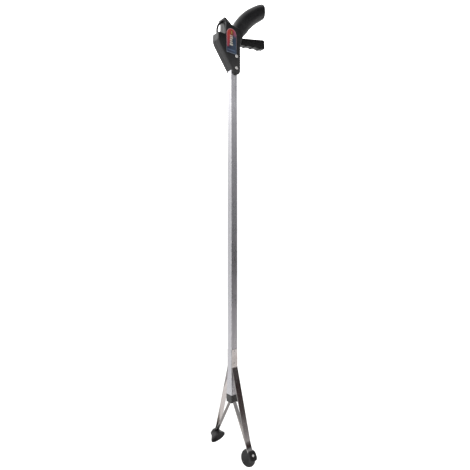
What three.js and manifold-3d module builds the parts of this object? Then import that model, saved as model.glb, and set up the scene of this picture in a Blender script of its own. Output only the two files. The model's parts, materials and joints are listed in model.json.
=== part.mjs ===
// A reacher grabber: pistol handle with a squeeze trigger, a rectangular aluminium tube, and two sprung steel
// bands that carry rubber cups. Millimetres, +Z up along the tube, +X towards the grip, -Y the label side.
// Every piece is drawn about the tube's axis with z = 0 at the tube's lower end, and the whole object is then
// shifted so that the hang loop's bearing point is the origin.

import * as THREE from 'three';
import { mergeVertices } from 'three/addons/utils/BufferGeometryUtils.js';
import Module from 'manifold-3d';

const wasm = await Module();
wasm.setup();

// Driving dimensions
const hangPoint = { x: -23.6, z: 594.6 };       // where a hook bears on the loop
const fitGap = 0.3;                              // clearance between pieces that touch
const throughCut = 20;                           // how far a hole's cutter reaches past a piece
const tube = { halfX: 6.35, halfY: 4.8, wall: 1.1, top: 556 };
const tubeFlare = { halfX: 7.4, halfY: 6.8, top: 42 }; // the foot widens to meet the guide block
const handle = { halfThickness: 8.25, edge: 1.2, coreHalf: 6.1, channelTop: 558 };
const lobe = { x: 2.2, z: 526, radius: 8.3, startAngle: Math.PI + 0.42 };
const loopRadius = 1.7;
const trigger = { halfThickness: 5.5, edge: 1.3, pivotX: -26.6, pivotZ: 567, bossRadius: 4.2 };
const fork = { left: -11, right: 3.5, half: 2.5, bottom: 540, top: 600 };
const pivotPin = { radius: 2.0, halfLength: 6.9 };
const rod = { x: -3.2, radius: 1.1, bottom: 14.3, top: 561 };
const rodEye = { half: 2.1, radius: 4.4, hole: 2.35, neckBottom: 558.5, neckTop: 564 };
const linkPin = { radius: 1.5, halfLength: 5.2 };
const yoke = { halfX: 3.5, halfY: 0.6, bottom: -9 };
const yokeHead = { halfX: 4.9, halfY: 2.6, bottom: 12, top: 21 };
const block = { halfX: 7.6, halfY: 7.0, height: 12.6, spigot: 10, passageX: 3.9, passageY: 3.4 };
const flare = { halfY: 9, top: -4.5, bottom: -14 }; // the passage widens below the block
const band = { width: 11.6, endWidth: 10.2, thickness: 1.0, tabTop: 73, bendGap: 0.4, rivetZ: [69.5, 50.1] };
const bandPivot = { y: 5.6, z: 44 };
const bandElbow = { y: 40.5, z: -70 };
const cupTilt = THREE.MathUtils.degToRad(35);
const cupReach = 13.6;                           // elbow to cup rivet, along the bent end of the band
const bandTail = 21;                             // elbow to the band's tip
const strip = { width: 7.2, thickness: 0.9, topY: 2.0, topZ: -7 };
const stripFoot = { offset: 1.45, start: 1.1, hinge: 0.6, length: 17 };
const cup = { rimRadius: 13.1, rim: 11, sleeveX: 7.2, sleeveZ: 7.8, sleeveBack: 3.6, sleeveFront: 3.4 };
const cupSlot = { halfX: 5.6, bandEnd: -11, footEnd: -4, open: 40 };
const washer = { bottom: 4.7, thickness: 0.8, radius: 4.3 };
const cupRivet = { backHead: 3.1, frontHead: 2.2, frontHeight: 0.8 };
const rivet = { shaft: 1.5, head: 2.6, headHeight: 1.3, hole: 1.8 };
const handleRivets = [{ x: 1.9, z: 547 }, { x: 1.9, z: 528 }];
const screws = { outer: { x: 55, z: 638 }, inner: { x: 12, z: 604.5 } };
const screw = { radius: 1.4, head: 2.9, headHeight: 2, tip: -5, post: 3.8, postSink: 1, sink: 0.5 };
const label = { left: -18.2, right: 1.9, bottom: 549, top: 588.5, depth: 0.4, thickness: 0.4 };

// Finishes
function finish(color, roughness, metalness) {
  return new THREE.MeshStandardMaterial({ color, roughness, metalness });
}
const blackPlastic = finish(0x1d1d1f, 0.55, 0);
const aluminium = finish(0xb9bcc2, 0.35, 0.9);
const springSteel = finish(0xc4c2c3, 0.15, 1);
const zincSteel = finish(0xd2d0cc, 0.3, 1);
const blackRubber = finish(0x161616, 0.85, 0);
const labelFilm = finish(0xd8cfd0, 0.4, 0);

// Solids

function toSolid(geometry) {
  const plain = geometry.clone();
  plain.deleteAttribute('normal');
  plain.deleteAttribute('uv');
  const merged = mergeVertices(plain, 1e-4);
  return new wasm.Manifold(new wasm.Mesh({
    numProp: 3,
    vertProperties: Float32Array.from(merged.attributes.position.array),
    triVerts: Uint32Array.from(merged.index.array),
  }));
}

function toGeometry(solid) {
  const mesh = solid.getMesh();
  const geometry = new THREE.BufferGeometry();
  geometry.setAttribute('position', new THREE.BufferAttribute(Float32Array.from(mesh.vertProperties), 3));
  geometry.setIndex(new THREE.BufferAttribute(Uint32Array.from(mesh.triVerts), 1));
  return geometry;
}

function cut(solid, ...tools) {
  return tools.reduce((rest, tool) => rest.subtract(tool), solid);
}

function join(first, ...others) {
  return others.reduce((sum, other) => sum.add(other), first);
}

function boxSolid(low, high) {
  const size = high.map((value, i) => value - low[i]);
  const box = new THREE.BoxGeometry(...size);
  box.translate(...low.map((value, i) => value + size[i] / 2));
  return toSolid(box);
}

// A round bar along Y, between two Y values, centred on (x, z)
function barAlongY(x, z, radius, yLow, yHigh, sides = 16) {
  const bar = new THREE.CylinderGeometry(radius, radius, yHigh - yLow, sides);
  bar.translate(0, (yLow + yHigh) / 2, 0);
  bar.translate(x, 0, z);
  return toSolid(bar);
}

function bevelled(depth, edge, segments) {
  return {
    depth: depth - 2 * edge,
    bevelEnabled: edge > 0,
    bevelThickness: edge,
    bevelSize: edge,
    bevelOffset: -edge,
    bevelSegments: segments,
    curveSegments: 3,
  };
}

// A shape drawn in X and Z, extruded evenly about y = 0
const drawnInXZ = new THREE.Matrix4().makeBasis(
  new THREE.Vector3(1, 0, 0), new THREE.Vector3(0, 0, 1), new THREE.Vector3(0, -1, 0));

function slabXZ(shape, halfThickness, edge = 0, segments = 1) {
  const geometry = new THREE.ExtrudeGeometry(shape, bevelled(2 * halfThickness, edge, segments));
  geometry.translate(0, 0, edge - halfThickness);
  geometry.applyMatrix4(drawnInXZ);
  return toSolid(geometry);
}

// A shape drawn in Y and Z, extruded evenly about x = 0
const drawnInYZ = new THREE.Matrix4().makeBasis(
  new THREE.Vector3(0, 1, 0), new THREE.Vector3(0, 0, 1), new THREE.Vector3(1, 0, 0));

function slabYZ(shape, halfWidth) {
  const geometry = new THREE.ExtrudeGeometry(shape, bevelled(2 * halfWidth, 0, 1));
  geometry.translate(0, 0, -halfWidth);
  geometry.applyMatrix4(drawnInYZ);
  return toSolid(geometry);
}

function polygon(points) {
  return new THREE.Shape(points.map(([a, b]) => new THREE.Vector2(a, b)));
}

// The outline of a flat strap of even thickness along a line of points
function strapOutline(points, thickness) {
  const line = points.map(([y, z]) => new THREE.Vector2(y, z));
  const left = [];
  const right = [];
  line.forEach((point, i) => {
    const before = line[Math.max(i - 1, 0)];
    const after = line[Math.min(i + 1, line.length - 1)];
    const along = after.clone().sub(before).normalize();
    const side = new THREE.Vector2(-along.y, along.x).multiplyScalar(thickness / 2);
    left.push(point.clone().add(side));
    right.unshift(point.clone().sub(side));
  });
  return new THREE.Shape([...left, ...right]);
}

const model = new THREE.Group();
model.position.set(-hangPoint.x, 0, -hangPoint.z);

function addPiece(name, solid, material, parent = model) {
  const mesh = new THREE.Mesh(toGeometry(solid), material);
  mesh.name = name;
  parent.add(mesh);
  return mesh;
}

// Handle housing: one outline for the body, the bulge over the trigger pivot, and the grip

function vectors(points) {
  return points.map(([x, z]) => new THREE.Vector2(x, z));
}

function handleOutline() {
  const shape = new THREE.Shape();
  shape.moveTo(lobe.x + lobe.radius, lobe.z);
  shape.lineTo(lobe.x + lobe.radius, 566);
  shape.lineTo(17, 583);
  shape.splineThru(vectors([[25.4, 590.8], [38.6, 606.8], [52, 619.1], [63.2, 627.6]]));
  shape.quadraticCurveTo(65, 628.9, 65, 631);
  shape.lineTo(65, 650);
  shape.quadraticCurveTo(65, 656.8, 59.8, 654);
  shape.splineThru(vectors([[47.5, 647.6], [29.8, 634.7], [16.8, 622.3], [5.4, 607.6]]));
  shape.quadraticCurveTo(-1.5, 594.6, -7.5, 595.6);
  shape.lineTo(-17.5, 602.2);
  shape.quadraticCurveTo(-23.2, 605, -22.2, 600);
  shape.lineTo(-19.8, 596.6);
  shape.lineTo(-19.8, 579.8);
  shape.quadraticCurveTo(-19.8, 577.3, -22.3, 577.3);
  shape.lineTo(-31, 577.3);
  shape.quadraticCurveTo(-34.4, 577.3, -34.4, 573.6);
  shape.lineTo(-34.4, 565.4);
  shape.quadraticCurveTo(-33.8, 561.4, -29.2, 555);
  shape.lineTo(-14.6, 535.2);
  shape.absarc(lobe.x, lobe.z, lobe.radius, lobe.startAngle, 2 * Math.PI, false);
  return shape;
}

function handleCore() {
  return polygon([
    [-27.4, 557.5], [8.2, 557.5], [8.2, 580], [16, 586.5], [25.4, 595], [38.6, 610.2], [52, 622.4],
    [60, 629], [62.5, 632], [62.5, 648.5], [60, 650.8], [47.5, 644.3], [29.8, 631.2], [19, 620.6],
    [8, 606.4], [1.5, 596.5], [-6.5, 592.2], [-15.6, 598], [-17.4, 597], [-17.4, 574.9], [-31.6, 574.9],
    [-31.6, 564],
  ]);
}

// The way in for the trigger, open to the right and upwards into the grip as far as the trigger swings
function triggerMouth() {
  return polygon([[7, 564.6], [40, 564.6], [40, 605.5], [38, 606.2], [31, 600.5], [7, 586]]);
}

function loopPath() {
  return new THREE.CatmullRomCurve3([
    new THREE.Vector3(-29.6, 0, 573.6),
    new THREE.Vector3(-30.9, 0, 580),
    new THREE.Vector3(-30.1, 0, 587),
    new THREE.Vector3(-27.2, 0, 592.9),
    new THREE.Vector3(-22.4, 0, 597.9),
    new THREE.Vector3(-17.2, 0, 598.3),
  ]);
}

function loopSolid(radius) {
  const section = new THREE.Shape();
  section.absarc(0, 0, radius, 0, 2 * Math.PI, false);
  return toSolid(new THREE.ExtrudeGeometry(section, {
    steps: 16, curveSegments: 10, extrudePath: loopPath(), bevelEnabled: false,
  }));
}

function labelOutline(grow) {
  const radius = (label.right - label.left) / 2 + grow;
  const centreX = (label.left + label.right) / 2;
  const shape = new THREE.Shape();
  shape.moveTo(centreX - radius, label.bottom - grow);
  shape.lineTo(centreX + radius, label.bottom - grow);
  shape.absarc(centreX, label.top - radius + grow, radius, 0, Math.PI, false);
  return shape;
}

function makeHandleShells() {
  const body = slabXZ(handleOutline(), handle.halfThickness, handle.edge);
  const core = slabXZ(handleCore(), handle.coreHalf);
  const posts = Object.values(screws).map(({ x, z }) =>
    barAlongY(x, z, screw.post, -handle.coreHalf - screw.postSink, handle.coreHalf + screw.postSink));
  const hollow = join(cut(body, core), ...posts);
  const mouth = slabXZ(triggerMouth(), handle.coreHalf);
  const channelHalf = [tube.halfX + fitGap, tube.halfY + fitGap];
  const channel = boxSolid([...channelHalf.map((half) => -half), lobe.z - throughCut],
    [...channelHalf, handle.channelTop]);
  const pinSeat = barAlongY(trigger.pivotX, trigger.pivotZ, pivotPin.radius + fitGap,
    -pivotPin.halfLength - fitGap, pivotPin.halfLength + fitGap);
  const loopSeat = loopSolid(loopRadius + fitGap);
  const rivetHoles = handleRivets.map(({ x, z }) => barAlongY(x, z, rivet.hole, -throughCut, throughCut));
  const headSeat = handle.halfThickness - screw.headHeight - screw.sink - fitGap;
  const screwHoles = Object.values(screws).flatMap(({ x, z }) => [
    barAlongY(x, z, screw.radius + fitGap, screw.tip - fitGap, throughCut),
    barAlongY(x, z, screw.head + fitGap, headSeat, throughCut),
  ]);
  const shell = cut(hollow, mouth, channel, pinSeat, loopSeat, ...rivetHoles, ...screwHoles);
  const recess = slabXZ(labelOutline(fitGap), label.depth)
    .translate([0, -handle.halfThickness, 0]);
  const far = 200;
  const nearHalf = boxSolid([-far, -far, -far], [far, -fitGap / 2, 4 * far]);
  const farHalf = boxSolid([-far, fitGap / 2, -far], [far, far, 4 * far]);
  addPiece('handle_shell_near', cut(shell.intersect(nearHalf), recess), blackPlastic);
  addPiece('handle_shell_far', shell.intersect(farHalf), blackPlastic);
}

function makeHandleFittings() {
  addPiece('hang_loop', loopSolid(loopRadius), blackPlastic);
  const face = handle.halfThickness - label.depth + fitGap;
  addPiece('label', slabXZ(labelOutline(0), label.thickness / 2)
    .translate([0, -face - label.thickness / 2, 0]), labelFilm);
  handleRivets.forEach(({ x, z }, i) => {
    addPiece(['handle_rivet_upper', 'handle_rivet_lower'][i],
      throughRivet(x, z, handle.halfThickness + fitGap), zincSteel);
  });
  for (const [place, { x, z }] of Object.entries(screws)) {
    const head = handle.halfThickness - screw.sink;
    addPiece(`grip_screw_${place}`, join(
      barAlongY(x, z, screw.radius, screw.tip, head),
      barAlongY(x, z, screw.head, head - screw.headHeight, head)), zincSteel);
  }
}

function throughRivet(x, z, seat) {
  const dome = (sign) => {
    const profile = vectors([
      [0, 0], [rivet.head, 0], [rivet.head * 0.92, 0.5], [rivet.head * 0.62, 1.0], [0, rivet.headHeight],
    ]);
    const head = new THREE.LatheGeometry(profile, 16);
    if (sign < 0) head.rotateX(Math.PI);
    head.translate(x, sign * seat, z);
    return toSolid(head);
  };
  return join(barAlongY(x, z, rivet.shaft, -seat - fitGap, seat + fitGap), dome(1), dome(-1));
}

// Trigger: a plate hinged in the bulge, forked round the rod's eye, with finger grooves below

function triggerOutline() {
  const { pivotX, pivotZ, bossRadius } = trigger;
  const shape = new THREE.Shape();
  shape.moveTo(pivotX, pivotZ - bossRadius);
  shape.lineTo(4.5, 561.8);
  shape.lineTo(10.2, 567);
  shape.splineThru(vectors([
    [16.8, 570], [22, 571.2], [26, 571], [31, 572.8], [37, 573.6], [41, 573.2], [46, 575.2],
    [52, 575.4], [56, 574.8], [60, 576.2], [63.8, 577],
  ]));
  shape.quadraticCurveTo(67.4, 577.3, 67.2, 580.6);
  shape.lineTo(66.4, 590);
  shape.quadraticCurveTo(66, 593.8, 62.6, 592.9);
  shape.lineTo(17, 582.2);
  shape.lineTo(8, 576.5);
  shape.lineTo(-8, 572.4);
  shape.lineTo(pivotX, pivotZ + bossRadius);
  shape.absarc(pivotX, pivotZ, bossRadius, Math.PI / 2, 1.5 * Math.PI, false);
  return shape;
}

function makeTrigger() {
  const plate = slabXZ(triggerOutline(), trigger.halfThickness, trigger.edge);
  const gap = boxSolid([fork.left, -fork.half, fork.bottom], [fork.right, fork.half, fork.top]);
  const pivotHole = barAlongY(trigger.pivotX, trigger.pivotZ, pivotPin.radius + fitGap,
    -throughCut, throughCut);
  const linkHole = barAlongY(rod.x, trigger.pivotZ, linkPin.radius + fitGap, -throughCut, throughCut);
  addPiece('trigger', cut(plate, gap, pivotHole, linkHole), blackPlastic);
  addPiece('trigger_pivot_pin', barAlongY(trigger.pivotX, trigger.pivotZ, pivotPin.radius,
    -pivotPin.halfLength, pivotPin.halfLength), zincSteel);
  addPiece('link_pin', barAlongY(rod.x, trigger.pivotZ, linkPin.radius,
    -linkPin.halfLength, linkPin.halfLength), zincSteel);
}

// Tube, pull rod and yoke

// One side of the tube, set in by a wall's thickness and carried past both ends by reach
function tubeSide(halfWidth, footHalfWidth, inset, reach) {
  const straight = halfWidth - inset;
  const foot = straight + (footHalfWidth - halfWidth) * (1 + reach / tubeFlare.top);
  return polygon([
    [-foot, -reach], [foot, -reach], [straight, tubeFlare.top], [straight, tube.top + reach],
    [-straight, tube.top + reach], [-straight, tubeFlare.top],
  ]);
}

function tubeSolid(inset, reach) {
  const broad = slabXZ(tubeSide(tube.halfX, tubeFlare.halfX, inset, reach), throughCut);
  return broad.intersect(slabYZ(tubeSide(tube.halfY, tubeFlare.halfY, inset, reach), throughCut));
}

function makeTube() {
  const outer = tubeSolid(0, 0);
  const inner = tubeSolid(tube.wall, throughCut);
  const holes = [...handleRivets, ...band.rivetZ.map((z) => ({ x: 0, z }))]
    .map(({ x, z }) => barAlongY(x, z, rivet.hole, -throughCut, throughCut));
  addPiece('tube', cut(outer, inner, ...holes), aluminium);
}

function makePullRod() {
  const wire = new THREE.CylinderGeometry(rod.radius, rod.radius, rod.top - rod.bottom, 12);
  wire.rotateX(Math.PI / 2);
  wire.translate(rod.x, 0, (rod.top + rod.bottom) / 2);
  const eye = barAlongY(rod.x, trigger.pivotZ, rodEye.radius, -rodEye.half, rodEye.half, 24);
  const neck = boxSolid([rod.x - rodEye.half, -rodEye.half, rodEye.neckBottom],
    [rod.x + rodEye.half, rodEye.half, rodEye.neckTop]);
  const hole = barAlongY(rod.x, trigger.pivotZ, rodEye.hole, -throughCut, throughCut, 24);
  addPiece('pull_rod', cut(join(toSolid(wire), eye, neck), hole), zincSteel);

  const head = boxSolid([-yokeHead.halfX, -yokeHead.halfY, yokeHead.bottom],
    [yokeHead.halfX, yokeHead.halfY, yokeHead.top]);
  const tongue = boxSolid([-yoke.halfX, -yoke.halfY, yoke.bottom],
    [yoke.halfX, yoke.halfY, yokeHead.bottom + yoke.halfY]);
  const socket = new THREE.CylinderGeometry(rod.radius + fitGap, rod.radius + fitGap, throughCut, 12);
  socket.rotateX(Math.PI / 2);
  socket.translate(rod.x, 0, rod.bottom - fitGap + throughCut / 2);
  addPiece('pull_yoke', cut(join(head, tongue), toSolid(socket)), zincSteel);
}

// Guide block: plugs the tube's end and steers the two inner strips

function makeGuideBlock() {
  const outer = boxSolid([-block.halfX, -block.halfY, -block.height], [block.halfX, block.halfY, -fitGap]);
  const plugX = tube.halfX - tube.wall - fitGap;
  const plugY = tube.halfY - tube.wall - fitGap;
  const plug = boxSolid([-plugX, -plugY, -2 * fitGap], [plugX, plugY, block.spigot]);
  const passage = slabYZ(polygon([
    [block.passageY, throughCut], [-block.passageY, throughCut], [-block.passageY, flare.top],
    [-flare.halfY, flare.bottom], [flare.halfY, flare.bottom], [block.passageY, flare.top],
  ]), block.passageX);
  addPiece('guide_block', cut(join(outer, plug), passage), blackPlastic);
}

// Jaws. Drawn on the far side (+Y), and turned half round the tube for the near side.

function alongTail(distance, inward = 0) {
  return [
    bandElbow.y + distance * Math.sin(cupTilt) - inward * Math.cos(cupTilt),
    bandElbow.z - distance * Math.cos(cupTilt) - inward * Math.sin(cupTilt),
  ];
}

function bandSolid() {
  const start = band.bendGap / (bandPivot.z - bandElbow.z);
  const from = [
    bandPivot.y + (bandElbow.y - bandPivot.y) * start,
    bandPivot.z + (bandElbow.z - bandPivot.z) * start,
  ];
  const line = [from, [bandElbow.y - 1.2, bandElbow.z + 3.6], alongTail(2.5), alongTail(bandTail)];
  const hole = cupBar(rivet.hole, -throughCut, throughCut);
  return cut(slabYZ(strapOutline(line, band.thickness), band.width / 2).intersect(bandTaper()), hole);
}

// The band narrows evenly from its bend to its tip
function bandTaper() {
  const [tipY, tipZ] = alongTail(bandTail);
  const margin = 10;
  return slabXZ(polygon([
    [-band.width / 2, bandPivot.z + margin], [-band.endWidth / 2, tipZ - margin],
    [band.endWidth / 2, tipZ - margin], [band.width / 2, bandPivot.z + margin],
  ]), tipY + margin);
}

function stripSolid() {
  const [footY, footZ] = alongTail(stripFoot.hinge, stripFoot.offset);
  return slabYZ(strapOutline([[strip.topY, strip.topZ], [footY, footZ]], strip.thickness), strip.width / 2);
}

function stripFootSolid() {
  const line = [alongTail(stripFoot.start, stripFoot.offset), alongTail(stripFoot.length, stripFoot.offset)];
  const hole = cupBar(rivet.hole, -throughCut, throughCut);
  return cut(slabYZ(strapOutline(line, strip.thickness), strip.width / 2), hole);
}

// Turns a shape drawn about the cup's own axis (+Z towards the mouth) to its place on the band
function placeOnTail(geometry) {
  const [y, z] = alongTail(cupReach);
  geometry.rotateX(Math.PI / 2 + cupTilt);
  geometry.translate(0, y, z);
  return toSolid(geometry);
}

// A round bar on the cup's axis
function cupBar(radius, low, high) {
  const bar = new THREE.CylinderGeometry(radius, radius, high - low, 16);
  bar.rotateX(Math.PI / 2);
  bar.translate(0, 0, (low + high) / 2);
  return placeOnTail(bar);
}

function cupLathe(profile, sides = 28) {
  const turned = new THREE.LatheGeometry(vectors(profile), sides);
  turned.rotateX(Math.PI / 2);
  return placeOnTail(turned);
}

function cupBox(low, high) {
  const size = high.map((value, i) => value - low[i]);
  const box = new THREE.BoxGeometry(...size);
  box.translate(...low.map((value, i) => value + size[i] / 2));
  return placeOnTail(box);
}

function cupSolid() {
  const dish = cupLathe([
    [0, 0.5], [7.4, 0.5], [9.8, 4.2], [12.2, 8.4], [cup.rimRadius, 10.2], [12.8, cup.rim], [12, 10.7],
    [10.4, 7.6], [8.8, 5.6], [5.2, 4.6], [0, 4.4],
  ]);
  const sleeve = cupBox([-cup.sleeveX, -cup.sleeveZ, -cup.sleeveBack],
    [cup.sleeveX, cup.sleeveZ, cup.sleeveFront]);
  const slotHalf = band.thickness / 2 + fitGap;
  const bandSlot = cupBox([-cupSlot.halfX, cupSlot.bandEnd, -slotHalf],
    [cupSlot.halfX, cupSlot.open, slotHalf]);
  const footSlot = cupBox([-strip.width / 2 - fitGap, cupSlot.footEnd, 0],
    [strip.width / 2 + fitGap, cupSlot.open, stripFoot.offset + strip.thickness / 2 + fitGap]);
  return cut(join(dish, sleeve), bandSlot, footSlot, cupBar(rivet.hole, -throughCut, throughCut));
}

function cupRivetSolid() {
  const back = -cup.sleeveBack - fitGap;
  const front = washer.bottom + washer.thickness + fitGap;
  const crown = back - rivet.headHeight;
  const tip = front + cupRivet.frontHeight;
  return join(
    cupBar(rivet.shaft, back - fitGap, front + fitGap),
    cupLathe([[0, crown], [cupRivet.backHead * 0.55, crown + 0.3], [cupRivet.backHead * 0.94, back - 0.4],
      [cupRivet.backHead, back], [0, back]], 16),
    cupLathe([[0, front], [cupRivet.frontHead, front], [cupRivet.frontHead * 0.9, front + 0.5], [0, tip]], 16));
}

function cupWasherSolid() {
  const { radius, bottom, thickness } = washer;
  const top = bottom + thickness;
  const disc = cupLathe([[0, bottom], [radius, bottom], [radius, top], [0, top]], 20);
  return cut(disc, cupBar(rivet.hole, -throughCut, throughCut));
}

function bandTabSolid() {
  const inner = bandPivot.y - band.thickness / 2;
  const tab = boxSolid([-band.width / 2, inner, bandPivot.z + band.bendGap],
    [band.width / 2, inner + band.thickness, band.tabTop]);
  return cut(tab, ...band.rivetZ.map((z) => barAlongY(0, z, rivet.hole, -throughCut, throughCut)));
}

function makeJaws() {
  const pieces = {
    band_tab: [bandTabSolid(), springSteel],
    jaw_band: [bandSolid(), springSteel],
    inner_strip: [stripSolid(), springSteel],
    strip_foot: [stripFootSolid(), springSteel],
    cup: [cupSolid(), blackRubber],
    cup_washer: [cupWasherSolid(), zincSteel],
    cup_rivet: [cupRivetSolid(), zincSteel],
  };
  for (const [side, turn] of [['far', 0], ['near', Math.PI]]) {
    const jaw = new THREE.Group();
    jaw.rotation.z = turn;
    model.add(jaw);
    for (const [name, [solid, material]] of Object.entries(pieces)) {
      addPiece(`${name}_${side}`, solid, material, jaw);
    }
  }
  const seat = bandPivot.y + band.thickness / 2 + fitGap;
  band.rivetZ.forEach((z, i) => {
    addPiece(['band_rivet_upper', 'band_rivet_lower'][i], throughRivet(0, z, seat), zincSteel);
  });
}

makeHandleShells();
makeHandleFittings();
makeTrigger();
makeTube();
makePullRod();
makeGuideBlock();
makeJaws();

export default model;
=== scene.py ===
import json
import math

import bmesh
import bpy
from mathutils import Matrix, Vector


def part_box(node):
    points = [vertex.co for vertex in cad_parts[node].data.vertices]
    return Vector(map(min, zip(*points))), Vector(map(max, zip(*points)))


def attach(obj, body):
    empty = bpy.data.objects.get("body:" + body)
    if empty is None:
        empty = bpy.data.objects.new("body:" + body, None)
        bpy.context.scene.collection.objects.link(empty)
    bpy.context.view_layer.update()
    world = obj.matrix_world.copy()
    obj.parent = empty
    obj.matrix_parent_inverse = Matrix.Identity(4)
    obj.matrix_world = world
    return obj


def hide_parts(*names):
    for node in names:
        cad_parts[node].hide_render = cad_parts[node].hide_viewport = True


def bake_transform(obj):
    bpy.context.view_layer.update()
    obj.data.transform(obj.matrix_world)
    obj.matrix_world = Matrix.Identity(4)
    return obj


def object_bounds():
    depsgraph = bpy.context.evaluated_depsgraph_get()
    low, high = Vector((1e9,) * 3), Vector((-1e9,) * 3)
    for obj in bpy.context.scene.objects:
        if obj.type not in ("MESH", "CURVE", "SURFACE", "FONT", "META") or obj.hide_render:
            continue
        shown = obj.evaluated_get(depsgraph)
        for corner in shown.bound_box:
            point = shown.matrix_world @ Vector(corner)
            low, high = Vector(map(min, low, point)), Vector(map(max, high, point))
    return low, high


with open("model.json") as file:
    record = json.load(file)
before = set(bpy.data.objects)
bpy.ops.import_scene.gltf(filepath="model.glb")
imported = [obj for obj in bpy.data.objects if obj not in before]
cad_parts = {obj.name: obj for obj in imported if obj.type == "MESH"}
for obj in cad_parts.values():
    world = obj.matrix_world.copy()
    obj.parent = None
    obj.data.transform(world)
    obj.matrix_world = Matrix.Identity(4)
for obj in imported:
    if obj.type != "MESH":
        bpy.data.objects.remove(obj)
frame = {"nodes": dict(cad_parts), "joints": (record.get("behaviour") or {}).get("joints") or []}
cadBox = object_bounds()
tubeLow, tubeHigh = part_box("tube")
tubeFoot = Vector(((tubeLow.x + tubeHigh.x) / 2, (tubeLow.y + tubeHigh.y) / 2, tubeLow.z))
joints = {joint["name"]: joint for joint in frame["joints"]}
sides = {"near": -1, "far": 1}      # which side of the tube along Y
through = 20                        # how far a cutter reaches past a piece
nameOf = {side: which for which, side in sides.items()}


def spot(x, y, z):
    return Vector((x / 1000, y / 1000, z / 1000)) + tubeFoot


def local(point):
    return (Vector(point) - tubeFoot) * 1000


def centreOf(node):
    low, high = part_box(node)
    return local((low + high) / 2)


# ---------- mesh tools ----------

def meshPiece(name, points, faces):
    mesh = bpy.data.meshes.new(name)
    mesh.from_pydata([spot(*point) for point in points], [], faces)
    mesh.validate()
    bm = bmesh.new()
    bm.from_mesh(mesh)
    bmesh.ops.recalc_face_normals(bm, faces=bm.faces)
    bm.to_mesh(mesh)
    bm.free()
    piece = bpy.data.objects.new(name, mesh)
    bpy.context.scene.collection.objects.link(piece)
    return piece


def settle(piece):
    # the evaluated mesh becomes the piece's own mesh
    bpy.context.view_layer.update()
    graph = bpy.context.evaluated_depsgraph_get()
    made = bpy.data.meshes.new_from_object(piece.evaluated_get(graph))
    piece.modifiers.clear()
    piece.data = made


def combine(piece, other, operation):
    step = piece.modifiers.new(operation.lower(), "BOOLEAN")
    step.operation = operation
    step.solver = "EXACT"
    step.object = other
    settle(piece)
    bpy.data.objects.remove(other)
    return piece


def smoothShade(piece, angle=30):
    for face in piece.data.polygons:
        face.use_smooth = True
    piece.data.set_sharp_from_angle(angle=math.radians(angle))


def skin(rings, closeEnds=True):
    # faces between rings that all have the same number of points
    count = len(rings[0])
    points = [point for ring in rings for point in ring]
    faces = []
    for row in range(len(rings) - 1):
        for i in range(count):
            j = (i + 1) % count
            faces.append((row * count + i, row * count + j, (row + 1) * count + j, (row + 1) * count + i))
    if closeEnds:
        faces.append(tuple(reversed(range(count))))
        last = (len(rings) - 1) * count
        faces.append(tuple(range(last, last + count)))
    return points, faces


def prism(name, outline, low, high, along="y"):
    # a straight block over an outline of (x, z) along Y, or of (y, z) along X
    if along == "y":
        rings = [[(a, depth, b) for a, b in outline] for depth in (low, high)]
    else:
        rings = [[(depth, a, b) for a, b in outline] for depth in (low, high)]
    return meshPiece(name, *skin(rings))


def circle(x, z, radius, count=32):
    return [(x + radius * math.cos(i / count * math.tau), z + radius * math.sin(i / count * math.tau))
            for i in range(count)]


def arc(x, z, radius, start, end, count):
    # points on an arc, angles in degrees
    angles = [math.radians(start + (end - start) * i / count) for i in range(count + 1)]
    return [(x + radius * math.cos(a), z + radius * math.sin(a)) for a in angles]


def bend(a, corner, b, count=8):
    # a quadratic curve that leaves a, heads for the corner and ends at b
    made = []
    for i in range(1, count + 1):
        t = i / count
        made.append(tuple((1 - t) ** 2 * p + 2 * t * (1 - t) * q + t * t * r
                          for p, q, r in zip(a, corner, b)))
    return made


def flowing(points, per=8):
    # a smooth line through the points, without the first one
    made = []
    ends = [points[0], *points, points[-1]]
    for i in range(1, len(ends) - 2):
        p0, p1, p2, p3 = (Vector(ends[i + k]) for k in (-1, 0, 1, 2))
        for k in range(1, per + 1):
            t = k / per
            square = (2 * p0 - 5 * p1 + 4 * p2 - p3) * t * t
            cube = (3 * p1 - p0 - 3 * p2 + p3) * t ** 3
            made.append(tuple(0.5 * (2 * p1 + (p2 - p0) * t + square + cube)))
    return made


def evenly(points, step):
    # the same closed outline with its points about one step apart, corners kept
    made = []
    for i, point in enumerate(points):
        after = points[(i + 1) % len(points)]
        span = math.dist(point, after)
        if span < 1e-4:
            continue
        parts = max(1, round(span / step))
        made += [tuple(p + (q - p) * k / parts for p, q in zip(point, after)) for k in range(parts)]
    return made


def insetOutline(outline, amount):
    # moves an anticlockwise outline inwards along its own normals
    made = []
    for i, point in enumerate(outline):
        before, after = Vector(outline[i - 1]), Vector(outline[(i + 1) % len(outline)])
        here = Vector(point)
        normalA = (here - before).orthogonal().normalized()
        normalB = (after - here).orthogonal().normalized()
        inward = (normalA + normalB).normalized()
        made.append(tuple(here + inward * amount / max(0.6, inward.dot(normalA))))
    return made


def roundedRings(outline, low, high, radius, steps=5, lowRadius=None):
    # rings of a slab along Y whose two faces have rounded edges
    lowRadius = radius if lowRadius is None else lowRadius
    rings = []
    for i in range(steps + 1):
        turn = math.pi / 2 * i / steps
        inset = lowRadius * (1 - math.sin(turn))
        level = low + lowRadius * (1 - math.cos(turn))
        rings.append([(x, level, z) for x, z in insetOutline(outline, inset)])
    for i in range(steps + 1):
        turn = math.pi / 2 * (1 - i / steps)
        inset = radius * (1 - math.sin(turn))
        level = high - radius * (1 - math.cos(turn))
        rings.append([(x, level, z) for x, z in insetOutline(outline, inset)])
    return rings


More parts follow.
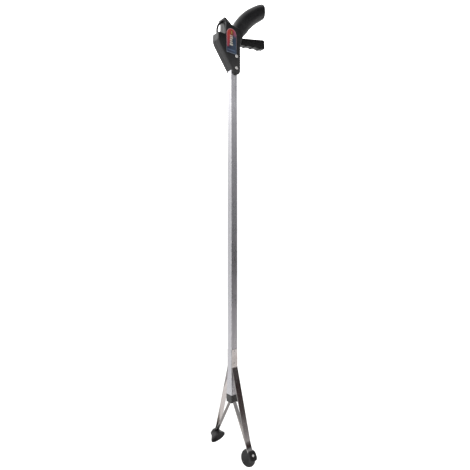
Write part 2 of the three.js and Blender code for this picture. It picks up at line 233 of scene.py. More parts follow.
def lathe(name, profile, origin, axis, count=64):
    # turns a closed profile of (radius, height) about an axis; a point on the axis stays a single point
    axis = Vector(axis).normalized()
    across = axis.orthogonal().normalized()
    other = axis.cross(across)
    origin = Vector(origin)
    points, faces, rows = [], [], []
    for radius, height in profile:
        if radius < 1e-6:
            rows.append([len(points)])
            points.append(tuple(origin + axis * height))
            continue
        rows.append(list(range(len(points), len(points) + count)))
        for i in range(count):
            a = math.tau * i / count
            outwards = across * math.cos(a) + other * math.sin(a)
            points.append(tuple(origin + axis * height + outwards * radius))
    for rowA, rowB in zip(rows, rows[1:]):
        for i in range(count):
            j = (i + 1) % count
            if len(rowA) == 1:
                faces.append((rowA[0], rowB[j], rowB[i]))
            elif len(rowB) == 1:
                faces.append((rowA[i], rowA[j], rowB[0]))
            else:
                faces.append((rowA[i], rowA[j], rowB[j], rowB[i]))
    return meshPiece(name, points, faces)


def sweep(name, path, section, closeEnds=True):
    # section(index, point, along) gives the ring at each point of a path
    rings = []
    for i, point in enumerate(path):
        before = Vector(path[max(i - 1, 0)])
        after = Vector(path[min(i + 1, len(path) - 1)])
        rings.append(section(i, Vector(point), (after - before).normalized()))
    return meshPiece(name, *skin(rings, closeEnds))


# ---------- node tools ----------

def addNode(tree, kind, inputs=None, **settings):
    node = tree.nodes.new(kind)
    for key, value in settings.items():
        setattr(node, key, value)
    for key, value in (inputs or {}).items():
        if isinstance(value, bpy.types.NodeSocket):
            tree.links.new(value, node.inputs[key])
        else:
            node.inputs[key].default_value = value
    return node


def calc(tree, operation, a, b=0.0, c=None, clamp=False):
    values = {0: a, 1: b}
    if c is not None:
        values[2] = c
    return addNode(tree, "ShaderNodeMath", values, operation=operation, use_clamp=clamp).outputs[0]


def mixColour(tree, factor, a, b, blend="MIX"):
    node = addNode(tree, "ShaderNodeMix", data_type="RGBA", blend_type=blend)
    for socket, value in ((node.inputs[0], factor), (node.inputs[6], a), (node.inputs[7], b)):
        if isinstance(value, bpy.types.NodeSocket):
            tree.links.new(value, socket)
        else:
            socket.default_value = value
    return node.outputs[2]


def spread(tree, value, low, high, newLow, newHigh):
    return addNode(tree, "ShaderNodeMapRange", {0: value, 1: low, 2: high, 3: newLow, 4: newHigh}).outputs[0]


def place(tree, scale=(1, 1, 1)):
    where = addNode(tree, "ShaderNodeTexCoord").outputs["Object"]
    return addNode(tree, "ShaderNodeMapping", {"Vector": where, "Scale": scale}).outputs[0]


def newGroup(name, inputs, outputs):
    tree = bpy.data.node_groups.new(name, "ShaderNodeTree")
    for label, kind, value in inputs:
        socket = tree.interface.new_socket(name=label, in_out="INPUT", socket_type=kind)
        socket.default_value = value
    for label, kind in outputs:
        tree.interface.new_socket(name=label, in_out="OUTPUT", socket_type=kind)
    return tree, tree.nodes.new("NodeGroupInput"), tree.nodes.new("NodeGroupOutput")


def mouldedGrainGroup():
    # the fine spark-eroded texture of moulded plastic or rubber, as a height, with a blotchy mask
    tree, given, out = newGroup("mouldedGrain", [
        ("Size", "NodeSocketFloat", 900.0), ("Depth", "NodeSocketFloat", 1.0)],
        [("Height", "NodeSocketFloat"), ("Blotch", "NodeSocketFloat")])
    where = place(tree)
    size = given.outputs["Size"]
    fine = addNode(tree, "ShaderNodeTexNoise", {"Vector": where, "Scale": size, "Detail": 3.0})
    pits = addNode(tree, "ShaderNodeTexVoronoi", {"Vector": where, "Scale": size})
    height = calc(tree, "MULTIPLY_ADD", pits.outputs["Distance"], 0.5, fine.outputs["Fac"])
    blotch = addNode(tree, "ShaderNodeTexNoise", {"Vector": where, "Scale": 45.0, "Detail": 4.0})
    tree.links.new(calc(tree, "MULTIPLY", height, given.outputs["Depth"]), out.inputs["Height"])
    tree.links.new(spread(tree, blotch.outputs["Fac"], 0.35, 0.7, 0.0, 1.0), out.inputs["Blotch"])
    return tree


def drawnStreaksGroup():
    # long fine streaks along the tube's length, as drawn or rolled metal has
    tree, given, out = newGroup("drawnStreaks", [
        ("Fineness", "NodeSocketFloat", 1.0), ("Contrast", "NodeSocketFloat", 1.0)],
        [("Streaks", "NodeSocketFloat"), ("Height", "NodeSocketFloat")])
    where = place(tree, (1500, 1500, 9))
    wide = place(tree, (420, 420, 3))
    size = given.outputs["Fineness"]
    fine = addNode(tree, "ShaderNodeTexNoise", {"Vector": where, "Scale": size, "Detail": 4.0})
    broad = addNode(tree, "ShaderNodeTexNoise", {"Vector": wide, "Scale": size, "Detail": 2.0})
    both = calc(tree, "ADD", fine.outputs["Fac"], broad.outputs["Fac"])
    streaks = spread(tree, both, 0.75, 1.25, 0.0, 1.0)
    tree.links.new(calc(tree, "MULTIPLY", streaks, given.outputs["Contrast"]), out.inputs["Streaks"])
    tree.links.new(fine.outputs["Fac"], out.inputs["Height"])
    return tree


def wearGroup():
    # where corners rub: a mask from the surface's own curvature, broken up by noise
    tree, given, out = newGroup("edgeWear", [
        ("Amount", "NodeSocketFloat", 0.5)], [("Mask", "NodeSocketFloat")])
    shape = addNode(tree, "ShaderNodeNewGeometry").outputs["Pointiness"]
    noise = addNode(tree, "ShaderNodeTexNoise", {"Vector": place(tree), "Scale": 260.0, "Detail": 5.0})
    corner = spread(tree, shape, 0.52, 0.62, 0.0, 1.0)
    broken = spread(tree, noise.outputs["Fac"], 0.42, 0.68, 0.0, 1.0)
    worn = calc(tree, "MULTIPLY", corner, broken)
    tree.links.new(calc(tree, "MULTIPLY", worn, given.outputs["Amount"], clamp=True), out.inputs["Mask"])
    return tree


def scratchesGroup():
    # sparse hair scratches and faint smudges from handling
    tree, given, out = newGroup("handling", [
        ("Amount", "NodeSocketFloat", 1.0)],
        [("Scratches", "NodeSocketFloat"), ("Smudge", "NodeSocketFloat")])
    lines = addNode(tree, "ShaderNodeTexWave", {
        "Vector": place(tree, (1, 1, 0.25)), "Scale": 130.0, "Distortion": 22.0, "Detail": 3.0,
        "Detail Scale": 1.6}, wave_type="BANDS", bands_direction="DIAGONAL")
    thin = spread(tree, lines.outputs["Fac"], 0.982, 1.0, 0.0, 1.0)
    patches = addNode(tree, "ShaderNodeTexNoise", {"Vector": place(tree), "Scale": 60.0, "Detail": 2.0})
    gate = spread(tree, patches.outputs["Fac"], 0.55, 0.7, 0.0, 1.0)
    scratch = calc(tree, "MULTIPLY", calc(tree, "MULTIPLY", thin, gate), given.outputs["Amount"])
    tree.links.new(scratch, out.inputs["Scratches"])
    smudge = addNode(tree, "ShaderNodeTexNoise", {"Vector": place(tree), "Scale": 28.0, "Detail": 6.0})
    tree.links.new(spread(tree, smudge.outputs["Fac"], 0.4, 0.65, 0.0, 1.0), out.inputs["Smudge"])
    return tree


grainGroup = mouldedGrainGroup()
streakGroup = drawnStreaksGroup()
edgeWear = wearGroup()
handlingGroup = scratchesGroup()


def useGroup(tree, group, **values):
    node = tree.nodes.new("ShaderNodeGroup")
    node.node_tree = group
    for key, value in values.items():
        node.inputs[key].default_value = value
    return node


def newMaterial(name):
    material = bpy.data.materials.new(name)
    material.use_nodes = True
    tree = material.node_tree
    tree.nodes.clear()
    shader = tree.nodes.new("ShaderNodeBsdfPrincipled")
    out = tree.nodes.new("ShaderNodeOutputMaterial")
    tree.links.new(shader.outputs[0], out.inputs["Surface"])
    return material, tree, shader


def bumpInto(tree, shader, height, strength, distance):
    bump = addNode(tree, "ShaderNodeBump", {
        "Height": height, "Strength": strength, "Distance": distance / 1000})
    tree.links.new(bump.outputs[0], shader.inputs["Normal"])


def mouldedMaterial(name, look):
    # black plastic or rubber: base, dusty blotches, rubbed corners and a fine grain
    material, tree, shader = newMaterial(name)
    grain = useGroup(tree, grainGroup, Size=look["grain"], Depth=1.0)
    wear = useGroup(tree, edgeWear, Amount=look["wear"])
    marks = useGroup(tree, handlingGroup, Amount=look["marks"])
    dusty = mixColour(tree, calc(tree, "MULTIPLY", grain.outputs["Blotch"], look["dust"]),
                      (*look["colour"], 1), (*look["dustColour"], 1))
    rubbed = mixColour(tree, wear.outputs["Mask"], dusty, (*look["wearColour"], 1))
    marked = mixColour(tree, marks.outputs["Scratches"], rubbed, (*look["wearColour"], 1))
    tree.links.new(marked, shader.inputs["Base Color"])
    rough = calc(tree, "MULTIPLY_ADD", marks.outputs["Smudge"], look["smudge"], look["roughness"])
    polish = calc(tree, "MULTIPLY", wear.outputs["Mask"], 0.15)
    tree.links.new(calc(tree, "SUBTRACT", rough, polish, clamp=True), shader.inputs["Roughness"])
    shader.inputs["Specular IOR Level"].default_value = look["gloss"]
    bumpInto(tree, shader, grain.outputs["Height"], look["bump"], look["depth"])
    return material


def metalMaterial(name, look):
    # drawn, rolled or plated metal: streaks in colour, roughness and height, with smudges and hair scratches
    material, tree, shader = newMaterial(name)
    streaks = useGroup(tree, streakGroup, Fineness=look["fineness"], Contrast=look["contrast"])
    marks = useGroup(tree, handlingGroup, Amount=look["marks"])
    wear = useGroup(tree, edgeWear, Amount=look["wear"])
    base = mixColour(tree, streaks.outputs["Streaks"], (*look["colour"], 1), (*look["streakColour"], 1))
    smudged = mixColour(tree, calc(tree, "MULTIPLY", marks.outputs["Smudge"], look["tarnish"]),
                        base, (*look["tarnishColour"], 1))
    bright = mixColour(tree, wear.outputs["Mask"], smudged, (*look["wearColour"], 1))
    if look["sheared"]:
        # the cut edges, which face along X, are rougher and darker than the rolled faces
        facing = addNode(tree, "ShaderNodeTexCoord").outputs["Normal"]
        along = calc(tree, "ABSOLUTE", addNode(tree, "ShaderNodeSeparateXYZ", {0: facing}).outputs["X"])
        cut = spread(tree, along, 0.6, 0.85, 0.0, look["sheared"])
        bright = mixColour(tree, cut, bright, (*look["shearColour"], 1))
    tree.links.new(bright, shader.inputs["Base Color"])
    shader.inputs["Metallic"].default_value = look["metallic"]
    rough = calc(tree, "MULTIPLY_ADD", streaks.outputs["Streaks"], look["streakRough"], look["roughness"])
    rough = calc(tree, "MULTIPLY_ADD", marks.outputs["Smudge"], look["smudge"], rough)
    tree.links.new(calc(tree, "MULTIPLY_ADD", marks.outputs["Scratches"], 0.15, rough, clamp=True),
                   shader.inputs["Roughness"])
    bumpInto(tree, shader, streaks.outputs["Height"], look["bump"], look["depth"])
    return material


blackPlastic = dict(colour=(0.0042, 0.0041, 0.0048), dustColour=(0.0085, 0.008, 0.0088), dust=0.5,
                    wearColour=(0.05, 0.05, 0.052), wear=0.3, marks=0.3, grain=1500.0, roughness=0.28,
                    smudge=0.08, gloss=0.5, bump=0.16, depth=0.08)
plainMetal = dict(colour=(0.6, 0.59, 0.58), streakColour=(0.42, 0.41, 0.4), tarnish=0.25,
                  tarnishColour=(0.3, 0.28, 0.26), wearColour=(0.8, 0.8, 0.79), wear=0.5, marks=0.6,
                  fineness=1.0, contrast=0.5, metallic=1.0, roughness=0.28, streakRough=0.12, smudge=0.1,
                  bump=0.12, depth=0.05, sheared=0.0, shearColour=(0.1, 0.095, 0.09))
finishes = {
    "handle": mouldedMaterial("handlePlastic", blackPlastic),
    "loop": mouldedMaterial("loopPlastic", blackPlastic | dict(
        roughness=0.34, grain=1900.0, bump=0.12, gloss=0.35)),
    "trigger": mouldedMaterial("triggerPlastic", blackPlastic | dict(
        colour=(0.002, 0.002, 0.0022), roughness=0.33, dust=0.3, gloss=0.2)),
    "block": mouldedMaterial("blockPlastic", blackPlastic | dict(
        colour=(0.009, 0.0085, 0.008), roughness=0.4, grain=1200.0)),
    "rubber": mouldedMaterial("cupRubber", blackPlastic | dict(
        colour=(0.0035, 0.0034, 0.0037), dustColour=(0.02, 0.019, 0.02), dust=0.45,
        wearColour=(0.06, 0.058, 0.058),
        roughness=0.46, smudge=0.16, grain=700.0, gloss=0.28, bump=0.45, depth=0.2)),
    "tube": metalMaterial("tubeAluminium", plainMetal | dict(
        colour=(0.42, 0.416, 0.438), streakColour=(0.345, 0.342, 0.36), tarnish=0.1, metallic=0.85,
        tarnishColour=(0.33, 0.32, 0.33), roughness=0.22, streakRough=0.12, contrast=0.7, bump=0.2,
        depth=0.05)),
    "band": metalMaterial("bandSteel", plainMetal | dict(
        colour=(0.64, 0.615, 0.605), streakColour=(0.55, 0.525, 0.515), tarnish=0.3,
        tarnishColour=(0.41, 0.35, 0.33), roughness=0.1, streakRough=0.08, contrast=0.6, smudge=0.08,
        bump=0.08, depth=0.03, sheared=0.85)),
    "strip": metalMaterial("stripSteel", plainMetal | dict(
        colour=(0.6, 0.58, 0.57), streakColour=(0.5, 0.48, 0.47), roughness=0.1, streakRough=0.08,
        contrast=0.6, bump=0.08, depth=0.03, sheared=0.8)),
    "rivet": metalMaterial("rivetZinc", plainMetal | dict(
        colour=(0.6, 0.59, 0.58), streakColour=(0.52, 0.51, 0.5), tarnish=0.15, roughness=0.38, contrast=0.3,
        metallic=0.75)),
    "washer": metalMaterial("washerZinc", plainMetal | dict(
        colour=(0.3, 0.29, 0.28), streakColour=(0.22, 0.215, 0.21), roughness=0.42, tarnish=0.5)),
    "screw": metalMaterial("screwZinc", plainMetal | dict(colour=(0.52, 0.51, 0.5), roughness=0.32)),
    "rod": metalMaterial("rodSteel", plainMetal | dict(roughness=0.34, tarnish=0.4)),
    "pin": metalMaterial("pinSteel", plainMetal | dict(roughness=0.25)),
}
print("finishes made")


def dress(piece, finish, body=None, stands=(), shade=30):
    piece.data.materials.clear()
    piece.data.materials.append(finishes[finish])
    if shade:
        smoothShade(piece, shade)
    if body:
        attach(piece, body)
    if stands:
        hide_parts(*stands)
    return piece


# ---------- camera, lights and floor ----------

view = dict(focal=30.56, sensor=36.0, azimuth=38.3, distance=650, aside=4.1, height=263, lift=3 / 470)


def makeCamera():
    turn = math.radians(view["azimuth"])
    forward = Vector((math.sin(turn), math.cos(turn), 0))
    right = Vector((math.cos(turn), -math.sin(turn), 0))
    data = bpy.data.cameras.new("camera")
    data.lens, data.sensor_width = view["focal"], view["sensor"]
    data.shift_y = -view["lift"]
    camera = bpy.data.objects.new("camera", data)
    bpy.context.scene.collection.objects.link(camera)
    where = -forward * view["distance"] + right * view["aside"]
    camera.location = spot(where.x, where.y, view["height"])
    camera.rotation_euler = (-forward).to_track_quat("Z", "Y").to_euler()
    bpy.context.scene.camera = camera


studio = dict(floorDrop=0.82, floorSize=9.0, cardDistance=1.0, cardWidth=1.5, cardBottom=-880, cardTop=1700,
              skyPeak=3.25, frontDim=0.62, keySize=0.9, keyPower=6.0, keyPlace=(-900, -300, 1500),
              keyAim=(0, 0, 450), lowLeft=250, lowRight=900, lowHeight=-800)


def fillRamp(ramp, stops):
    elements = ramp.color_ramp.elements
    while len(elements) < len(stops):
        elements.new(0.5)
    for element, (at, colour) in zip(elements, stops):
        element.position = at
        element.color = (*colour, 1)


def glowMaterial(name, stops, low, high):
    # a soft card whose brightness changes with height
    material = bpy.data.materials.new(name)
    material.use_nodes = True
    tree = material.node_tree
    tree.nodes.clear()
    where = addNode(tree, "ShaderNodeTexCoord").outputs["Object"]
    height = addNode(tree, "ShaderNodeSeparateXYZ", {0: where}).outputs["Z"]
    share = spread(tree, height, low / 1000 + tubeFoot.z, high / 1000 + tubeFoot.z, 0.0, 1.0)
    ramp = addNode(tree, "ShaderNodeValToRGB", {0: share})
    fillRamp(ramp, [((at - low) / (high - low), colour) for at, colour in stops])
    glow = addNode(tree, "ShaderNodeEmission", {"Color": ramp.outputs[0], "Strength": 1.0})
    out = tree.nodes.new("ShaderNodeOutputMaterial")
    tree.links.new(glow.outputs[0], out.inputs["Surface"])
    return material


def hiddenCard(name, corners, stops):
    # lit by its own glow and out of the camera's sight, so that only reflections find it
    mesh = bpy.data.meshes.new(name)
    mesh.from_pydata(corners, [], [(0, 1, 2, 3)])
    card = bpy.data.objects.new(name, mesh)
    bpy.context.scene.collection.objects.link(card)
    mesh.materials.append(glowMaterial(name, stops, stops[0][0], stops[-1][0]))
    card.visible_camera = False
    card.visible_shadow = False


def makeStudio():
    world = bpy.data.worlds.new("studio")
    bpy.context.scene.world = world
    world.use_nodes = True
    tree = world.node_tree
    tree.nodes.clear()
    direction = addNode(tree, "ShaderNodeTexCoord").outputs["Generated"]
    toward = addNode(tree, "ShaderNodeSeparateXYZ", {0: direction})
    up = toward.outputs["Z"]
    # white all round, brighter above and below the horizon and dimmer again overhead
    ramp = addNode(tree, "ShaderNodeValToRGB", {0: calc(tree, "ABSOLUTE", up)})
    fillRamp(ramp, [(0.0, (0.34,) * 3), (0.17, (0.345,) * 3), (0.26, (0.66,) * 3), (0.36, (0.98,) * 3),
                    (0.5, (0.72,) * 3), (0.75, (0.42,) * 3), (1.0, (0.35,) * 3)])
    # dimmer high up at the front, so that the polished steel doesn't vanish against white
    front = calc(tree, "MULTIPLY", spread(tree, toward.outputs["Y"], -0.65, -0.1, 1.0, 0.0),
                 spread(tree, up, 0.2, 0.4, 0.0, 1.0))
    strength = calc(tree, "MULTIPLY_ADD", front, -studio["skyPeak"] * studio["frontDim"], studio["skyPeak"])
    sky = addNode(tree, "ShaderNodeBackground", {"Color": ramp.outputs[0], "Strength": strength})
    out = tree.nodes.new("ShaderNodeOutputWorld")
    tree.links.new(sky.outputs[0], out.inputs["Surface"])

    half = studio["floorSize"] / 2
    floorZ = cadBox[0].z - studio["floorDrop"]
    floorMesh = bpy.data.meshes.new("floor")
    floorMesh.from_pydata([(-half, -half, floorZ), (half, -half, floorZ), (half, half, floorZ),
                           (-half, half, floorZ)], [], [(0, 1, 2, 3)])
    floor = bpy.data.objects.new("floor", floorMesh)
    bpy.context.scene.collection.objects.link(floor)
    material, tree, shader = newMaterial("paleFloor")
    shader.inputs["Base Color"].default_value = (0.95, 0.95, 0.95, 1)
    shader.inputs["Roughness"].default_value = 0.9
    floorMesh.materials.append(material)

    # a dark card at the front right, which only the metal and the plastic see
    turn = math.radians(view["azimuth"])
    out = Vector((math.sin(turn), -math.cos(turn), 0)) * studio["cardDistance"] * 1000
    across = Vector((math.cos(turn), math.sin(turn), 0)) * studio["cardWidth"] * 500
    low, high = studio["cardBottom"], studio["cardTop"]
    corners = [spot(*(out - across).xy, low), spot(*(out + across).xy, low),
               spot(*(out + across).xy, high), spot(*(out - across).xy, high)]
    hiddenCard("darkCard", corners, [
        (-860, (0.8, 0.78, 0.77)), (-480, (0.72, 0.69, 0.68)), (-245, (0.66, 0.63, 0.62)),
        (-195, (1.22, 1.17, 1.18)), (-150, (1.02, 0.97, 0.98)), (-80, (0.48, 0.455, 0.46)),
        (-10, (0.095, 0.088, 0.088)), (50, (0.055, 0.038, 0.038)), (100, (0.034, 0.016, 0.016)),
        (190, (0.03, 0.028, 0.032)), (260, (0.24, 0.24, 0.245)), (620, (0.41, 0.41, 0.42)),
        (800, (1.05, 1.05, 1.06)), (885, (1.5, 1.5, 1.51)),
        (945, (0.1, 0.1, 0.105)),
        (1050, (0.02, 0.02, 0.022)), (1500, (0.02, 0.02, 0.022)), (1650, (0.1, 0.1, 0.11))])

    # low cards on the right, which only the insides of the bands, the strips and the bent ends see
    left, right, level = studio["lowLeft"], studio["lowRight"], studio["lowHeight"]
    for name, near, far, shade in (("topCard", -1100, -470, 1.3), ("bandCard", -470, -170, 0.9),
                                   ("stripCard", -170, 85, 0.4), ("tailCard", 85, 400, 0.6)):
        corners = [spot(left, near, level), spot(right, near, level),
                   spot(right, far, level), spot(left, far, level)]
        hiddenCard(name, corners, [(-900, (shade, shade * 0.95, shade * 0.94)), (-500, (shade,) * 3)])

    key = bpy.data.lights.new("key", "AREA")
    key.size = studio["keySize"]
    key.energy = studio["keyPower"]
    lamp = bpy.data.objects.new("key", key)
    bpy.context.scene.collection.objects.link(lamp)
    lamp.location = spot(*studio["keyPlace"])
    lamp.rotation_euler = (lamp.location - spot(*studio["keyAim"])).to_track_quat("Z", "Y").to_euler()

    scene = bpy.context.scene
    scene.view_settings.view_transform = "Standard"
    scene.view_settings.look = "None"


makeCamera()
makeStudio()
print("studio made")


# ---------- handle ----------

tubeLook = dict(corner=0.9, wall=1.1, flareTop=42, halfX=6.35, halfY=4.8, holeRadius=1.75)
handle = dict(half=8.25, seam=0.004, seamEdge=0.3, edge=1.5, lobe=(2.2, 526), lobeRadius=8.3, lobeStart=204,
              gripHalf=8.6, gripPower=3.0, coreHalf=6.1, pinSeat=(2.3, 7.2), loopSeat=2.05,
              screwWell=(3.2, 5.5), labelGrow=0.35, labelSink=0.42, tubeGap=0.3)


def handleOutline():
    x, z = handle["lobe"]
    radius = handle["lobeRadius"]
    outline = [(x + radius, z), (x + radius, 566), (13.4, 577), (17, 584), (16, 594), (4, 594.4),
               (-7.5, 595.6), (-17.5, 602.2)]
    outline += bend((-17.5, 602.2), (-23.2, 605), (-22.2, 600))
    outline += [(-19.8, 596.6), (-19.8, 579.8)]
    outline += bend((-19.8, 579.8), (-19.8, 577.3), (-22.3, 577.3))
    outline += [(-31, 577.3)]
    outline += bend((-31, 577.3), (-34.4, 577.3), (-34.4, 573.6))
    outline += [(-34.4, 565.4)]
    outline += bend((-34.4, 565.4), (-33.8, 561.4), (-29.2, 555))
    outline += [(-14.6, 535.2)]
    outline += arc(x, z, radius, handle["lobeStart"], 360, 28)[:-1]
    return evenly(outline, 2.2)


def gripSections():
    # the grip's upper and lower edge at each station in (x, z), and the share of its full thickness there
    stations = [((-4.5, 591.5), (9, 573), 0.88), ((0.8, 599.6), (16.6, 580.5), 0.95),
                ((5.4, 607.6), (22.6, 586.6), 1), ((10.6, 614.8), (28.3, 593.5), 1),
                ((16.8, 622.3), (33.9, 601.2), 1), ((23.2, 628.8), (38.7, 606.8), 1),
                ((29.8, 634.7), (43.3, 611.6), 1), ((38.6, 641.3), (49.6, 617.3), 1),
                ((47.5, 647.4), (56, 622.2), 1), ((55.0, 651.8), (60.6, 625.8), 1),
                ((60.4, 654.2), (62.8, 627.4), 1)]
    rows = [[*pair[0], *pair[1]] for pair in stations]
    shares = [pair[2] for pair in stations]
    last, between = len(stations) - 1, 3
    uppers = [stations[0][0], *flowing([row[:2] for row in rows], between)]
    lowers = [stations[0][1], *flowing([row[2:] for row in rows], between)]
    smooth = []
    for i in range(len(uppers)):
        here, after = min(i // between, last), min(i // between + 1, last)
        smooth.append(shares[here] + (shares[after] - shares[here]) * (i % between) / between)
    made = [(Vector(a), Vector(b), share) for a, b, share in zip(uppers, lowers, smooth)]
    for upper, lower, share in (((62.6, 654.3), (63.9, 628.3), 1.0), ((64.3, 653.3), (64.7, 629.3), 0.98),
                                ((65.0, 651.4), (65.0, 631), 0.93)):
        made.append((Vector(upper), Vector(lower), share))
    return made


def gripHalf(name, side):
    # one side of a squared oval at each station
    rings = []
    count = 40
    power = 2 / handle["gripPower"]
    for upper, lower, shrink in gripSections():
        middle, reach = (upper + lower) / 2, (upper - lower) / 2
        ring = []
        for i in range(count + 1):
            turn = math.pi * i / count
            across = math.copysign(abs(math.cos(turn)) ** power, math.cos(turn))
            depth = handle["gripHalf"] * shrink * math.sin(turn) ** power
            point = middle + reach * across
            ring.append((point.x, side * max(depth, handle["seam"]), point.y))
        rings.append(ring)
    return meshPiece(name, *skin(rings))


def handleShell(name, side):
    outline = handleOutline()
    inner, outer = handle["seam"], handle["half"]
    if side > 0:
        rings = roundedRings(outline, inner, outer, handle["edge"], lowRadius=handle["seamEdge"])
    else:
        rings = roundedRings(outline, -outer, -inner, handle["seamEdge"], lowRadius=handle["edge"])
    shell = meshPiece(name, *skin(rings))
    combine(shell, gripHalf("grip", side), "UNION")
    coreHalf = handle["coreHalf"]
    core = [(-27.4, 557.5), (8.2, 557.5), (8.2, 580), (16, 586.5), (25.4, 595), (38.6, 610.2), (52, 622.4),
            (60, 629), (62.3, 632), (62.3, 648.5), (60, 650.4), (47.5, 644), (29.8, 630.9), (19, 620),
            (8, 606), (1.5, 596.2), (-6.5, 592), (-15.6, 598), (-17.4, 597), (-17.4, 574.9),
            (-31.6, 574.9), (-31.6, 564)]
    combine(shell, prism("core", core, -coreHalf, coreHalf), "DIFFERENCE")
    mouth = [(7, 564.6), (40, 564.6), (40, 605.5), (38, 606.2), (31, 600.5), (7, 586)]
    combine(shell, prism("mouth", mouth, -coreHalf, coreHalf), "DIFFERENCE")
    wide, deep = tubeLook["halfX"] + handle["tubeGap"], tubeLook["halfY"] + handle["tubeGap"]
    channel = [(-wide, 500), (wide, 500), (wide, 558.5), (-wide, 558.5)]
    combine(shell, prism("channel", channel, -deep, deep), "DIFFERENCE")
    pivot = local(joints["trigger_hinge"]["pos_m"])
    seatRadius, seatHalf = handle["pinSeat"]
    combine(shell, prism("seat", circle(pivot.x, pivot.z, seatRadius), -seatHalf, seatHalf), "DIFFERENCE")
    combine(shell, loopBar("loopSeat", handle["loopSeat"]), "DIFFERENCE")
    if side > 0:
        for screw in ("grip_screw_outer", "grip_screw_inner"):
            centre = centreOf(screw)
            wellRadius, wellFloor = handle["screwWell"]
            well = prism("well", circle(centre.x, centre.z, wellRadius), wellFloor, through)
            combine(shell, well, "DIFFERENCE")
    else:
        recess = labelOutline(handle["labelGrow"])
        combine(shell, prism("recess", recess, -through, handle["labelSink"] - handle["half"]), "DIFFERENCE")
    return shell


# the hang loop is one round bar that rises from the shoulder and bows over to the crest
loop = dict(radius=1.7, points=[(-29.6, 573.6), (-30.9, 580), (-30.1, 587), (-27.2, 592.9), (-22.4, 597.9),
                                (-17.2, 598.3)])


def loopBar(name, radius):
    path = [(x, 0, z) for x, z in [loop["points"][0], *flowing(loop["points"], 10)]]
    count = 24

    def ring(index, point, along):
        side = Vector((0, 1, 0))
        up = along.cross(side)
        return [tuple(point + (side * math.cos(a) + up * math.sin(a)) * radius)
                for a in (math.tau * i / count for i in range(count))]
    return sweep(name, path, ring)


def labelOutline(grow):
    low, high = (local(corner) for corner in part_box("label"))
    centreX, radius = (low.x + high.x) / 2, (high.x - low.x) / 2 + grow
    top = high.z - (high.x - low.x) / 2
    outline = [(centreX - radius, low.z - grow), (centreX + radius, low.z - grow)]
    return evenly(outline + arc(centreX, top, radius, 0, 180, 32), 3)


def makeHandle():
    dress(handleShell("handleShellNear", -1), "handle", "frame", ["handle_shell_near"])
    dress(handleShell("handleShellFar", 1), "handle", "frame", ["handle_shell_far"])
    dress(loopBar("hangLoop", loop["radius"]), "loop", "frame", ["hang_loop"], 40)


# ---------- label ----------

label = dict(border=1.0, film=0.12)


